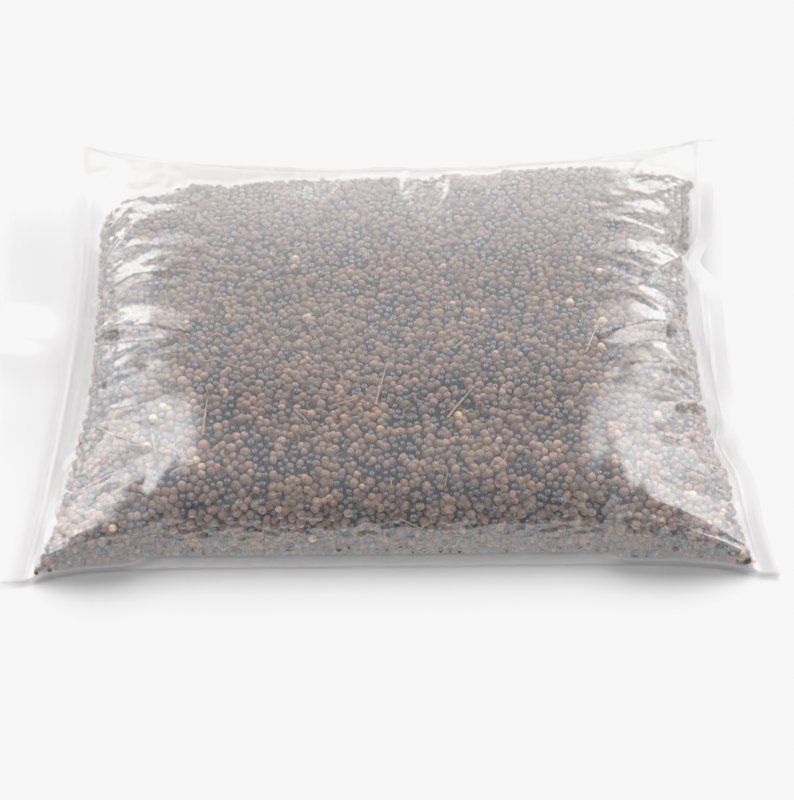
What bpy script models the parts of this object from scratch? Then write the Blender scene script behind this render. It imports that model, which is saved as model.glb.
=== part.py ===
"""A clear film bag of Sichuan pepper, lying flat: the two film panels and the pepper that fills them.

Metres, +Z up. The origin is under the middle of the whole bag, on the surface that it lies on.
+X runs along the bag to its bottom seal, and +Y from the near crease to the far one.
"""

import math
import random

import bmesh
import bpy
from mathutils import Vector

# Driving dimensions of the bag.
SEAL_TO_SEAL = 0.312
BAG_WIDTH = 0.250
MOUTH_FLAP = 0.035
BOTTOM_SKIRT = 0.008
NEAR_LIP = 0.0045
FAR_LIP = 0.003
LEAST_LIP = 0.0015
FILLED_HEIGHT = 0.046
FILM = 0.0006
LAYER_GAP = 0.0003

# How far the filled bag pulls the middle of each edge in from the line between its corners.
MOUTH_BOW = 0.010
BOTTOM_BOW = 0.010
NEAR_BOW = 0.0065
FAR_BOW = 0.019

# Height of the rim where the two panels meet: low along the near crease, high along the far one.
NEAR_RISE = 0.0024
FAR_RISE = 0.021
SEAL_LIFT = 0.006

# The crown of the upper panel is (1 - |u| ** power) ** blunt: gentle to the seals, steep to the near crease.
SEAL_POWER, SEAL_BLUNT = 6.0, 0.85
NEAR_POWER, NEAR_BLUNT = 5.0, 0.5
FAR_POWER, FAR_BLUNT = 3.2, 0.6
UNDERSIDE_FLATNESS = 1.7

# Grids of the panels: cells between the seals, in the flap and in the skirt, and from crease to crease.
BODY_CELLS, FLAP_CELLS, SKIRT_CELLS = 28, 4, 1
WIDTH_CELLS = 20

# The pepper: a lattice whose every third point is the top of a peppercorn, larger than life.
ROWS, COLUMNS = 46, 56
FILL_REACH_X, FILL_REACH_Y = 0.968, 0.966
CLEARANCE_ABOVE, CLEARANCE_BELOW = 0.0015, 0.0020
PEPPERCORN_RISE = 0.0024
RIM_CLEARANCE = 0.0016
THIN_SHARE = 0.36
SIDE_BULGE = 0.0006
CORNER_CUT = {(-1, -1): 0.01, (1, -1): 0.02, (1, 1): 0.09, (-1, 1): 0.16}

# Twigs that lie in the pepper, just under the film.
TWIG_COUNT = 12
TWIG_RADIUS = 0.0006
TWIG_SHORT, TWIG_LONG = 0.014, 0.030
TWIG_DEPTH = 0.0029

# The box of the whole bag is centred on the origin, and the flap is longer than the skirt.
BODY_CENTRE_X = (MOUTH_FLAP - BOTTOM_SKIRT) / 2
STEP = 1e-4

FILM_COLOUR = (0.86, 0.87, 0.88, 0.35)
HUSK_COLOUR = (0.17, 0.115, 0.085, 1.0)


def clear_scene():
    for obj in list(bpy.data.objects):
        bpy.data.objects.remove(obj)


def material(name, colour, roughness, metallic=0.0):
    """A plain surface in one colour, see-through by the colour's alpha."""
    made = bpy.data.materials.new(name)
    made.use_nodes = True
    shader = made.node_tree.nodes["Principled BSDF"]
    shader.inputs["Base Color"].default_value = (*colour[:3], 1.0)
    shader.inputs["Alpha"].default_value = colour[3]
    shader.inputs["Roughness"].default_value = roughness
    shader.inputs["Metallic"].default_value = metallic
    return made


def collection(name):
    made = bpy.data.collections.new(name)
    bpy.context.scene.collection.children.link(made)
    return made


def bump(value, middle, width):
    """A smooth hump of height 1 round middle."""
    return math.exp(-(((value - middle) / width) ** 2))


def scallop(t):
    """How far the bottom seal folds in at its two pinches."""
    return 0.0075 * bump(t, 0.34, 0.09) + 0.005 * bump(t, -0.53, 0.08)


def seal_wave(t):
    """The bottom seal's own up and down wave, flat at the corners."""
    return 0.0032 * math.sin(3.0 * math.pi * t + 0.6) * (1 - t**4)


def flap_rise(t):
    """How far the outer edge of the mouth flap stands above or below its seal."""
    lifted_corner = 0.012 * max(t - 0.15, 0.0) / 0.85
    ridge = 0.010 * bump(t, 0.08, 0.13)
    return lifted_corner + ridge


def rim_height(s, t):
    """Height of the surface between the panels, which follows the rim."""
    from_near = (1 + t) / 2
    slope = NEAR_RISE + (FAR_RISE - NEAR_RISE) * from_near
    seal_lift = SEAL_LIFT * s**4 * (1 - t * t)
    return slope + seal_lift + seal_wave(t) * max(s, 0.0) ** 8


def crown(s, t):
    """Share of the filled height, 0 at the rim and 1 in the middle."""
    along = max(1 - abs(s) ** SEAL_POWER, 0.0) ** SEAL_BLUNT
    power, blunt = (NEAR_POWER, NEAR_BLUNT) if t < 0 else (FAR_POWER, FAR_BLUNT)
    across = max(1 - abs(t) ** power, 0.0) ** blunt
    return along * across


def far_dents(s, t):
    """Two slack pleats where the film is loose at the far crease."""
    at_far_side = bump(t, 0.88, 0.16)
    return 0.0045 * at_far_side * (bump(s, -0.18, 0.10) + bump(s, 0.27, 0.08))


def lip_width(s, t):
    """Width of the flat lip at the near or the far crease, which narrows towards the corners."""
    if t < 0:
        return LEAST_LIP + (NEAR_LIP - LEAST_LIP) * (1 - s**8)
    return LEAST_LIP + (FAR_LIP - LEAST_LIP) * (1 - s * s)


def plan(s, t):
    """Where a point of the filled part lies, as seen from above."""
    bow = (MOUTH_BOW if s < 0 else -BOTTOM_BOW) * (1 - t * t)
    x = s * SEAL_TO_SEAL / 2 + bow * abs(s) ** 5
    x -= scallop(t) * max(s, 0.0) ** 12
    pulled_in = NEAR_BOW * (1 - s**8) if t < 0 else FAR_BOW * (1 - abs(s) ** 2.5)
    edge = BAG_WIDTH / 2 - lip_width(s, t) - pulled_in * abs(t) ** 3
    return BODY_CENTRE_X + x, t * edge


def rim_surface(s, t):
    """The surface between the panels, which carries on into the lips, the mouth flap and the bottom skirt."""
    s_in, t_in = max(-1.0, min(1.0, s)), max(-1.0, min(1.0, t))
    x, y = plan(s_in, t_in)
    z = rim_height(s_in, t_in)
    y += math.copysign(lip_width(s_in, t) * (abs(t) - abs(t_in)), t)
    x += s - s_in
    if s < -1:
        z += flap_rise(t_in) * ((-1 - s) / MOUTH_FLAP) ** 1.4
    return Vector((x, y, z))


def normal_of(surface, s, t):
    """The upward normal of a surface at a point given by its stations."""
    along = surface(s + STEP, t) - surface(s - STEP, t)
    across = surface(s, t + STEP) - surface(s, t - STEP)
    return along.cross(across).normalized()


def panel(side, s, t):
    """A point of the panel's middle surface: side is 1 for the upper panel and -1 for the lower one."""
    s_in, t_in = max(-1.0, min(1.0, s)), max(-1.0, min(1.0, t))
    share = crown(s_in, t_in)
    here = rim_surface(s, t) + normal_of(rim_surface, s, t) * side * (FILM + LAYER_GAP) / 2
    if side > 0:
        here.z += (FILLED_HEIGHT - FILM / 2 - here.z) * share - far_dents(s_in, t_in) * share
    else:
        here.z = FILM / 2 + (here.z - FILM / 2) * max(0.0, 1 - UNDERSIDE_FLATNESS * share) ** 2
    return here


def spread(a):
    """Moves evenly spaced stations towards the rim, where the film turns down."""
    return 0.4 * a + 0.6 * math.sin(a * math.pi / 2)


def inward(side, s, t, depth):
    """The point that lies depth under the film, deeper towards the rim, but never past the middle of the bag."""
    here = panel(side, s, t)
    room = (here - panel(-side, s, t)).length
    depth = min(depth + RIM_CLEARANCE * (1 - crown(s, t)), THIN_SHARE * room)
    return here - normal_of(lambda u, v: panel(side, u, v), s, t) * depth * side


def grid_mesh(columns, rows):
    """A flat grid of that many cells, from -1 to 1 both ways."""
    grid = bmesh.new()
    bmesh.ops.create_grid(grid, x_segments=columns, y_segments=rows, size=1.0)
    return grid


def add_object(name, source, owner, look):
    mesh = bpy.data.meshes.new(name)
    source.to_mesh(mesh)
    source.free()
    mesh.materials.append(look)
    made = bpy.data.objects.new(name, mesh)
    owner.objects.link(made)
    return made


def along_station(column):
    """The station of a column of the panel's grid, past -1 in the flap and past 1 in the skirt."""
    if column < FLAP_CELLS:
        return -1 - MOUTH_FLAP * (1 - column / FLAP_CELLS)
    if column > FLAP_CELLS + BODY_CELLS:
        return 1 + BOTTOM_SKIRT * (column - FLAP_CELLS - BODY_CELLS) / SKIRT_CELLS
    return spread(2 * (column - FLAP_CELLS) / BODY_CELLS - 1)


def across_station(row):
    """The station of a row of the panel's grid, with one row of cells in each crease's lip."""
    if row in (0, WIDTH_CELLS):
        return 2.0 if row else -2.0
    return spread(2 * (row - 1) / (WIDTH_CELLS - 2) - 1)


def film_panel(name, side, owner, look):
    """One panel of the bag: a grid laid over the pepper or under it, then given the film's thickness."""
    columns = FLAP_CELLS + BODY_CELLS + SKIRT_CELLS
    grid = grid_mesh(columns, WIDTH_CELLS)
    for vertex in grid.verts:
        column = round((vertex.co.x + 1) / 2 * columns)
        row = round((vertex.co.y + 1) / 2 * WIDTH_CELLS)
        vertex.co = panel(side, along_station(column), across_station(row))
    made = add_object(name, grid, owner, look)
    wall = made.modifiers.new("film thickness", "SOLIDIFY")
    wall.thickness = FILM
    wall.offset = 0.0
    made.data.shade_smooth()
    return made


def in_the_bag(a, b):
    """Bag stations of a point of the pepper's lattice, pulled in from the corners that stay empty."""
    cut = CORNER_CUT[(1 if a > 0 else -1, 1 if b > 0 else -1)]
    pull = 1 - cut * (a * b) ** 2
    return spread(a) * FILL_REACH_X * pull, spread(b) * FILL_REACH_Y * pull


def is_peppercorn(column, row):
    """True for one point in three of the lattice, so that six lower ones stand round it."""
    skewed = column - (row - (row & 1)) // 2
    return (skewed - row) % 3 == 0


def lattice(side):
    """One face of the pepper: a triangular lattice that follows the film, with a peppercorn at every third point."""
    clearance = CLEARANCE_ABOVE if side > 0 else CLEARANCE_BELOW
    face = grid_mesh(COLUMNS, ROWS)
    for vertex in face.verts:
        column = round((vertex.co.x + 1) / 2 * COLUMNS)
        row = round((vertex.co.y + 1) / 2 * ROWS)
        inside = 0 < column < COLUMNS and 0 < row < ROWS
        shift = (row & 1) / COLUMNS if inside else 0.0
        s, t = in_the_bag(vertex.co.x + shift - 0.5 / COLUMNS * inside, vertex.co.y)
        low = 0.0 if inside and is_peppercorn(column, row) else PEPPERCORN_RISE
        vertex.co = inward(side, s, t, clearance + low)
    bmesh.ops.triangulate(face, faces=face.faces, quad_method="SHORT_EDGE")
    if side < 0:
        bmesh.ops.reverse_faces(face, faces=face.faces)
    return face


def pepper_body(owner, look):
    """The pepper as one body: its upper and lower lattices, joined round the side by a bulging band."""
    whole = lattice(1)
    lower = lattice(-1)
    carried = bpy.data.meshes.new("lower lattice")
    lower.to_mesh(carried)
    lower.free()
    whole.from_mesh(carried)
    bpy.data.meshes.remove(carried)
    rims = [edge for edge in whole.edges if edge.is_boundary]
    band = bmesh.ops.bridge_loops(whole, edges=rims)
    rungs = [edge for edge in band["edges"] if not edge.is_boundary]
    cut = bmesh.ops.subdivide_edges(whole, edges=rungs, cuts=1, use_grid_fill=False)
    waist = {item for item in cut["geom_inner"] if isinstance(item, bmesh.types.BMVert)}
    for number, vertex in enumerate(sorted(waist, key=lambda v: math.atan2(v.co.y, v.co.x))):
        outward = Vector((vertex.co.x - BODY_CENTRE_X, vertex.co.y, 0.0)).normalized()
        vertex.co += outward * SIDE_BULGE * (number % 2)
    bmesh.ops.triangulate(whole, faces=whole.faces)
    bmesh.ops.recalc_face_normals(whole, faces=whole.faces)
    return add_object("pepper_fill", whole, owner, look)


def twig(number, draw, owner, look):
    """A thin broken stalk, laid on the peppercorns under the upper panel."""
    s, t = draw.uniform(-0.70, 0.70), draw.uniform(-0.60, 0.60)
    length, turn = draw.uniform(TWIG_SHORT, TWIG_LONG), draw.uniform(0, math.pi)
    half = Vector((math.cos(turn), math.sin(turn))) * length / 2
    reach = Vector((half.x / (SEAL_TO_SEAL / 2), half.y / (BAG_WIDTH / 2)))
    start = inward(1, s - reach.x, t - reach.y, TWIG_DEPTH)
    end = inward(1, s + reach.x, t + reach.y, TWIG_DEPTH)
    stalk = bmesh.new()
    bmesh.ops.create_cone(
        stalk, cap_ends=True, segments=5, radius1=TWIG_RADIUS, radius2=TWIG_RADIUS * 0.6, depth=(end - start).length
    )
    made = add_object(f"twig_{number}", stalk, owner, look)
    made.location = (start + end) / 2
    made.rotation_euler = (end - start).to_track_quat("Z", "Y").to_euler()
    return made


def fuse(body, owner):
    """Joins every object of a collection to the body, then removes them."""
    join = body.modifiers.new("fuse", "BOOLEAN")
    join.operation = "UNION"
    join.operand_type = "COLLECTION"
    join.collection = owner
    join.solver = "MANIFOLD"
    bpy.context.view_layer.update()
    graph = bpy.context.evaluated_depsgraph_get()
    joined = bpy.data.meshes.new_from_object(body.evaluated_get(graph))
    body.modifiers.clear()
    body.data = joined
    for obj in list(owner.objects):
        bpy.data.objects.remove(obj)
    bpy.data.collections.remove(owner)


def main():
    clear_scene()
    bag = collection("sichuan_pepper_bag")
    twigs = collection("twigs")
    clear_film = material("clear_film", FILM_COLOUR, 0.15)
    pepper_husk = material("pepper_husk", HUSK_COLOUR, 0.75)
    film_panel("film_upper", 1, bag, clear_film)
    film_panel("film_lower", -1, bag, clear_film)
    fill = pepper_body(bag, pepper_husk)
    draw = random.Random(7)
    for number in range(TWIG_COUNT):
        twig(number, draw, twigs, pepper_husk)
    fuse(fill, twigs)


main()
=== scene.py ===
# %% [markdown]
# # A clear bag of Sichuan pepper
#
# A film bag lies flat on a table, so full of Sichuan pepper that the film is tight over the grains and
# crumpled only towards its two seals. This notebook packs real-sized husks, seeds and twigs under the film,
# drapes two thin wrinkled sheets over them, and sets soft screens round the bag for the film to mirror.

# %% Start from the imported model
import math

import bmesh
import bpy
import numpy as np
from mathutils import Matrix
from mathutils.kdtree import KDTree


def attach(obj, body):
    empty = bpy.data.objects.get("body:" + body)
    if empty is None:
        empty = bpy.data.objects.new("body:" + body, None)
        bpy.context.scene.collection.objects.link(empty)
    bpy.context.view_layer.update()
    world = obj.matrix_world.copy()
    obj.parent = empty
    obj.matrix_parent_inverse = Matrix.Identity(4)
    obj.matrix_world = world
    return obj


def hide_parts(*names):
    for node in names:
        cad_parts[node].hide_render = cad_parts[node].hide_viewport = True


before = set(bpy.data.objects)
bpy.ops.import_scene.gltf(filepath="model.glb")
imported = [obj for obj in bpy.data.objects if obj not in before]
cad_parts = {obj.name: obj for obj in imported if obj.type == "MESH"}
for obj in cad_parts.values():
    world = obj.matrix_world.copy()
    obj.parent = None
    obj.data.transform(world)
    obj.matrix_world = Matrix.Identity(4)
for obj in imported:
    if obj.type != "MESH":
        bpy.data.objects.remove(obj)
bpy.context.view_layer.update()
scene = bpy.context.scene

# %% [markdown]
# ## The shape of the filled bag
#
# Every piece hangs on one description of the bag, the same that its solids follow. A point has two stations:
# s runs from -1 at the mouth seal to 1 at the bottom seal, and t from -1 at the near crease to 1 at the far
# one. `panel` turns stations into places on the upper or the lower sheet.

# %% Dimensions of the bag
SEAL_TO_SEAL, BAG_WIDTH = 0.312, 0.250
MOUTH_FLAP, BOTTOM_SKIRT = 0.035, 0.008
NEAR_LIP, FAR_LIP, LEAST_LIP, LIP_DROOP = 0.0042, 0.003, 0.0008, 0.0013
FILLED_HEIGHT = 0.046
MOUTH_BOW, BOTTOM_BOW, NEAR_BOW, FAR_BOW = 0.010, 0.010, 0.0073, 0.019
NEAR_RISE, FAR_RISE, SEAL_LIFT = 0.0024, 0.021, 0.006
SHEET_GAP, TOP_MARGIN, GROUND_MARGIN = 0.0008, 0.0006, 0.0003
BODY_X = (MOUTH_FLAP - BOTTOM_SKIRT) / 2

# The ridges out to the near corners: where they start, how long they are, how far the top slopes
EAR_START, EAR_LENGTH, EAR_SLOPE = 0.52, 0.30, 0.42
# Pinches in the bottom seal, by depth, middle and width, and the height of its waves
PINCHES, SEAL_WAVE = ((0.0075, 0.34, 0.09), (0.005, -0.53, 0.08)), 0.0032
# Rise of the flap at its far corner and along its ridge
CORNER_LIFT, FLAP_RIDGE = 0.012, 0.010
# Depths of the dents at the far edge
BROAD_DENTS, LONG_DENT, SMALL_DENT = 0.0045, 0.0030, 0.0024


# %% From stations to a place on the bag
def bump(value, middle, width):
    """A smooth hump of height 1 round middle."""
    return np.exp(-(((value - middle) / width) ** 2))


def ramp(value):
    """A smooth change from 0 to 1."""
    value = np.clip(value, 0, 1)
    return value * value * (3 - 2 * value)


def crown(s, t):
    """Share of the filled height: 0 along the rim, 1 in the middle, steep at the near crease."""
    along = np.clip(1 - np.abs(s) ** 6, 0, None) ** 0.85
    near = np.clip(1 - np.abs(t) ** 4, 0, None) ** 0.55
    ear = ramp((np.abs(s) - EAR_START) / EAR_LENGTH)
    sloping = 1 - EAR_SLOPE * np.clip((-t - 0.3) / 0.65, 0, 1)
    near = near * (1 - ear) + sloping * np.clip(1 - np.abs(t) ** 46, 0, None) ** 0.5 * ear
    far = np.clip(1 - np.abs(t) ** 3.2, 0, None) ** 0.6
    return along * np.where(t < 0, near, far)


def lip_width(s, t):
    """Width of the flat lip at the creases. The near one narrows to nothing towards both corners."""
    near = LEAST_LIP + (NEAR_LIP - LEAST_LIP) * ramp((s + 0.74) / 0.08) * ramp((0.64 - s) / 0.08)
    far = LEAST_LIP + (FAR_LIP - LEAST_LIP) * (1 - s * s)
    return np.where(t < 0, near, far)


def rim_surface(s, t):
    """The surface between the two sheets, with the lips, the flap and the skirt that go on from it."""
    s_in, t_in = np.clip(s, -1, 1), np.clip(t, -1, 1)
    bow = np.where(s_in < 0, MOUTH_BOW, -BOTTOM_BOW) * (1 - t_in * t_in)
    pinch = sum(depth * bump(t_in, middle, width) for depth, middle, width in PINCHES)
    x = s_in * SEAL_TO_SEAL / 2 + bow * np.abs(s_in) ** 5 - pinch * np.clip(s_in, 0, None) ** 12
    pulled_in = np.where(t_in < 0, NEAR_BOW * (1 - s_in**8), FAR_BOW * (1 - np.abs(s_in) ** 2.5))
    y = t_in * (BAG_WIDTH / 2 - lip_width(s_in, t_in) - pulled_in * np.abs(t_in) ** 3)
    z = NEAR_RISE + (FAR_RISE - NEAR_RISE) * (1 + t_in) / 2 + SEAL_LIFT * s_in**4 * (1 - t_in * t_in)
    z = z + SEAL_WAVE * np.sin(3 * np.pi * t_in + 0.6) * (1 - t_in**4) * np.clip(s_in, 0, None) ** 8
    flap = np.clip(-1 - s, 0, None)
    lifted = CORNER_LIFT * np.clip(t_in - 0.15, 0, None) / 0.85 + FLAP_RIDGE * bump(t_in, -0.05, 0.11)
    z = z + lifted * (flap / MOUTH_FLAP) ** 1.4
    z = z - np.where(t < 0, LIP_DROOP, 0.0) * (np.abs(t) - np.abs(t_in))
    x = BODY_X + x + (s - s_in)
    y = y + np.sign(t) * lip_width(s_in, t) * (np.abs(t) - np.abs(t_in))
    return np.stack([x, y, z], -1)


def panel(side, s, t):
    """A place on the upper sheet (side 1) or the lower sheet (side -1)."""
    s, t = np.broadcast_arrays(np.asarray(s, float), np.asarray(t, float))
    place = rim_surface(s, t)
    place[..., 2] += side * SHEET_GAP / 2
    share = crown(np.clip(s, -1, 1), np.clip(t, -1, 1))
    if side > 0:
        dents = BROAD_DENTS * bump(t, 0.88, 0.16) * (bump(s, -0.18, 0.10) + bump(s, 0.27, 0.08))
        dents = dents + LONG_DENT * bump(s, 0.11, 0.06) * np.clip((t - 0.44) / 0.2, 0, 1)
        dents = dents + SMALL_DENT * bump(s, -0.29, 0.08) * bump(t, 0.66, 0.10)
        place[..., 2] += (FILLED_HEIGHT - TOP_MARGIN - place[..., 2]) * share - dents * share
    else:
        flat = np.clip(1 - 1.7 * share, 0, None) ** 2
        place[..., 2] = GROUND_MARGIN + (place[..., 2] - GROUND_MARGIN) * flat
    return place


def outward(side, s, t, step=1e-4):
    """The unit normal of a sheet, away from the pepper, and its two tangents per unit of station."""
    along = (panel(side, s + step, t) - panel(side, s - step, t)) / (2 * step)
    across = (panel(side, s, t + step) - panel(side, s, t - step)) / (2 * step)
    normal = np.cross(along, across) * side
    return normal / np.linalg.norm(normal, axis=-1, keepdims=True), along, across


def room(s, t):
    """Height between the two sheets."""
    return panel(1, s, t)[..., 2] - panel(-1, s, t)[..., 2]


print("room for pepper in the middle:", round(float(room(0, 0)) * 1000, 1), "mm")

# %% [markdown]
# ## Packing the pepper
#
# Only the grains against the film are seen. So the pepper is a core, painted near black as the shade deep
# inside, with two layers of grains on it. The outer ones start as a random scatter under the film and push
# each other apart, sliding along it, until they lie as real grains do: closely, with small uneven gaps and no
# rows.
# A rougher layer shows through the gaps, painted darker as the shade in them.


# %% A layer of grains that push each other apart
END_STATION, CREASE_STATION = 0.992, 0.9994
SIZE_SPREAD, LEAST_SIZE, MOST_SIZE = 0.12, 0.74, 1.3
UNEVEN_DEPTH, TOUCHING, NEIGHBOURS = 0.0007, 0.97, 8


def nearest(points, places, count):
    """For each point, which few of the places are nearest."""
    tree = KDTree(len(places))
    for index, place in enumerate(places):
        tree.insert(place, index)
    tree.balance()
    return np.array([[hit[1] for hit in tree.find_n(point, count)] for point in points])


def scatter(side, count, radius, depth, rounds, draw):
    """Stations, places and radii of a layer of grains under one sheet.

    The sheet turns down ever more steeply towards the creases, so t is drawn more closely there.
    """
    s, drawn = draw.uniform(-END_STATION, END_STATION, (2, count * 4))
    t = np.sign(drawn) * (1 - (1 - np.abs(drawn)) ** 2).clip(0, CREASE_STATION)
    normal, along, across = outward(side, s, t)
    share = np.linalg.norm(np.cross(along, across), axis=-1) * (1 - np.abs(drawn))
    share = np.minimum(share, np.quantile(share, 0.98))
    keep = draw.uniform(0, share.max(), s.size) < share
    s, t = s[keep][:count], t[keep][:count]
    sizes = draw.normal(radius, radius * SIZE_SPREAD, s.size)
    sizes = np.clip(sizes, radius * LEAST_SIZE, radius * MOST_SIZE)
    extra = draw.uniform(0, UNEVEN_DEPTH, s.size)
    for turn in range(rounds + 1):
        normal, along, across = outward(side, s, t)
        depths = np.minimum(sizes + depth + extra, room(s, t) * 0.5)
        places = panel(side, s, t) - normal * depths[:, None]
        if turn == rounds:
            break
        near = nearest(places, places, NEIGHBOURS)[:, 1:]
        gap = places[:, None] - places[near]
        distance = np.linalg.norm(gap, axis=-1) + 1e-9
        overlap = np.clip((sizes[:, None] + sizes[near]) * TOUCHING - distance, 0, None)
        push = (gap / distance[..., None] * (overlap * 0.5)[..., None]).sum(1)
        s = np.clip(s + (push * along).sum(-1) / (along**2).sum(-1), -END_STATION, END_STATION)
        t = np.clip(t + (push * across).sum(-1) / (across**2).sum(-1), -CREASE_STATION, CREASE_STATION)
    return s, t, places, sizes, depths


# %% [markdown]
# At the far side and at both seals a strip of film holds nothing, and the pepper ends in a slope of loose
# grains. The limits are given at a few stations, with straight lines between them.

# %% Where the pepper ends
FAR_LIMIT = (
    (-1.0, 0.50), (-0.93, 0.58), (-0.84, 0.65), (-0.70, 0.66), (-0.61, 0.73), (-0.50, 0.70), (-0.37, 0.76),
    (-0.19, 0.80), (0.0, 0.78), (0.20, 0.83), (0.35, 0.84), (0.58, 0.85), (0.77, 0.83), (0.91, 0.81),
    (1.0, 0.75),
)
MOUTH_LIMIT = (
    (-1.0, 1.0), (-0.95, 0.985), (-0.89, 0.965), (-0.60, 0.950), (-0.30, 0.925), (0.0, 0.94), (0.45, 0.96),
    (1.0, 0.95),
)
BOTTOM_LIMIT = (
    (-1.0, 1.0), (-0.90, 0.985), (-0.50, 0.985), (-0.38, 0.945), (-0.15, 0.955), (0.05, 0.93), (0.20, 0.95),
    (0.34, 0.985), (1.0, 0.985),
)
EDGE_SLOPE = 0.009


def limit(rows, station):
    """The limit at a station, on straight lines between the rows."""
    return np.interp(station, *zip(*rows))


def pepper_edge(s, t):
    """0 where the pepper ends, and 1 from a slope's width inside, in a quarter circle."""
    far = (limit(FAR_LIMIT, s) - t) * BAG_WIDTH / 2
    mouth = (limit(MOUTH_LIMIT, t) + s) * SEAL_TO_SEAL / 2
    bottom = (limit(BOTTOM_LIMIT, t) - s) * SEAL_TO_SEAL / 2
    share = np.clip(np.minimum(np.minimum(far, mouth), bottom) / EDGE_SLOPE, 0, 1)
    return np.sqrt(1 - (1 - share) ** 2)


def lowered(places, s, t, clear):
    """Places brought down towards the lower sheet near the pepper's edge."""
    ground = panel(-1, s, t)[..., 2] + clear
    places = places.copy()
    places[..., 2] = ground + np.clip(places[..., 2] - ground, 0, None) * pepper_edge(s, t)
    return places


def holds_pepper(name, s, t, sizes):
    """False past the pepper's edge, for bits too small, and where a lower layer would show."""
    inside = (pepper_edge(s, t) > 0) & (sizes > SMALLEST_BIT)
    if name == "bottom":
        inside &= (t > -0.88) & (t < 0.93) & (pepper_edge(s, t) > 0.5)
    if name == "deep":
        inside &= pepper_edge(s, t) > 0.8
    return inside


# %% The three layers: side, count, depth below the film and rounds of pushing
draw = np.random.default_rng(31)
GRAIN_RADIUS, COARSER, SMALLEST_BIT, SHARE_OF_ROOM = 0.00206, 1.2, 0.0011, 0.47
layers = {}
for name, side, count, depth, rounds in (
    ("top", 1, 6700, 0.0004, 14),
    ("bottom", -1, 2300, 0.0005, 6),
    ("deep", 1, 3300, 0.0034, 5),
):
    rounds = rounds
    radius = GRAIN_RADIUS * (COARSER if name == "bottom" else 1.0)
    s, t, places, sizes, depths = scatter(side, count, radius, depth, rounds, draw)
    sizes = np.minimum(sizes, room(s, t) * SHARE_OF_ROOM)
    kept = holds_pepper(name, s, t, sizes)
    places = lowered(places, s, t, sizes) if side > 0 else places
    found = {"s": s, "t": t, "places": places, "sizes": sizes, "depths": depths}
    layers[name] = {label: values[kept] for label, values in found.items()}
    print(name, "layer:", int(kept.sum()), "grains")

# %% [markdown]
# ## One grain, copied thousands of times
#
# A husk is a small ball with a stalk nub at one end and a seam where it will split. Five shapes of a few
# dozen faces will do, because every copy has its own size, turn and colour: a closed husk, one whose seam
# opens, an open cup, the black seed, and a coarser ball for where little shows. A Geometry Nodes group sets a
# copy on each of a mesh's points, which carry the turn, size and tint as attributes.


# %% Shapes of the grains, each about 1 in radius
def placed(name, data):
    """A new object in the scene."""
    made = bpy.data.objects.new(name, data)
    scene.collection.objects.link(made)
    return made


def ball(segments, rings):
    shape = bmesh.new()
    bmesh.ops.create_uvsphere(shape, u_segments=segments, v_segments=rings, radius=1.0)
    return shape


def as_object(name, shape, finish=None):
    mesh = bpy.data.meshes.new(name)
    shape.to_mesh(mesh)
    shape.free()
    mesh.shade_smooth()
    if finish:
        mesh.materials.append(finish)
    return placed(name, mesh)


def closed_husk():
    shape = ball(8, 6)
    for vertex in shape.verts:
        x, y, z = vertex.co
        if z > 0.95:
            vertex.co.z = 1.10
        if x > 0.4 and abs(y) < 0.1:
            vertex.co.x *= 0.93
    bmesh.ops.scale(shape, verts=shape.verts, vec=(1.0, 0.96, 0.94))
    return shape


def split_husk():
    shape = ball(10, 6)
    for vertex in shape.verts:
        x, y, z = vertex.co
        if x > 0.2 and abs(y) < 0.1:
            vertex.co = (x * 0.62, y, z * 0.9)
        elif x > 0.2:
            vertex.co.y *= 1.12
    bmesh.ops.scale(shape, verts=shape.verts, vec=(1.02, 1.04, 0.92))
    return shape


def open_husk():
    shape = ball(10, 6)
    everything = shape.verts[:] + shape.edges[:] + shape.faces[:]
    rim, tilted = (0, 0, 0.28), (0.25, 0, 1)
    bmesh.ops.bisect_plane(shape, geom=everything, plane_co=rim, plane_no=tilted, clear_outer=True)
    bmesh.ops.recalc_face_normals(shape, faces=shape.faces)
    bmesh.ops.solidify(shape, geom=shape.faces[:], thickness=0.16)
    return shape


def black_seed():
    shape = ball(7, 5)
    bmesh.ops.scale(shape, verts=shape.verts, vec=(0.84, 0.79, 0.77))
    return shape


# %% Nodes, and the node group that sets copies on points
def feed(tree, socket, value):
    """Gives a socket a value, or links another node's output to it."""
    if isinstance(value, bpy.types.NodeSocket):
        tree.links.new(value, socket)
    else:
        socket.default_value = value


def add_node(tree, kind, **inputs):
    """A new node with its inputs fed."""
    node = tree.nodes.new(kind)
    for name, value in inputs.items():
        feed(tree, node.inputs[name], value)
    return node


def named_vector(tree, name):
    node = add_node(tree, "GeometryNodeInputNamedAttribute", Name=name)
    node.data_type = "FLOAT_VECTOR"
    return node.outputs["Attribute"]


def copy_group():
    group = bpy.data.node_groups.new("copies_on_points", "GeometryNodeTree")
    group.interface.new_socket("Geometry", in_out="INPUT", socket_type="NodeSocketGeometry")
    shape_socket = group.interface.new_socket("Shape", in_out="INPUT", socket_type="NodeSocketObject")
    group.interface.new_socket("Geometry", in_out="OUTPUT", socket_type="NodeSocketGeometry")
    start = group.nodes.new("NodeGroupInput").outputs
    shape = add_node(group, "GeometryNodeObjectInfo", Object=start["Shape"]).outputs["Geometry"]
    turn = add_node(group, "FunctionNodeEulerToRotation", Euler=named_vector(group, "turn")).outputs[0]
    place = add_node(group, "GeometryNodeInstanceOnPoints", Points=start["Geometry"], Instance=shape)
    feed(group, place.inputs["Rotation"], turn)
    feed(group, place.inputs["Scale"], named_vector(group, "size"))
    real = add_node(group, "GeometryNodeRealizeInstances", Geometry=place.outputs["Instances"])
    add_node(group, "NodeGroupOutput", Geometry=real.outputs["Geometry"])
    return group, shape_socket.identifier


copies, shape_input = copy_group()
print("the group that sets copies has", len(copies.nodes), "nodes")


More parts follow.
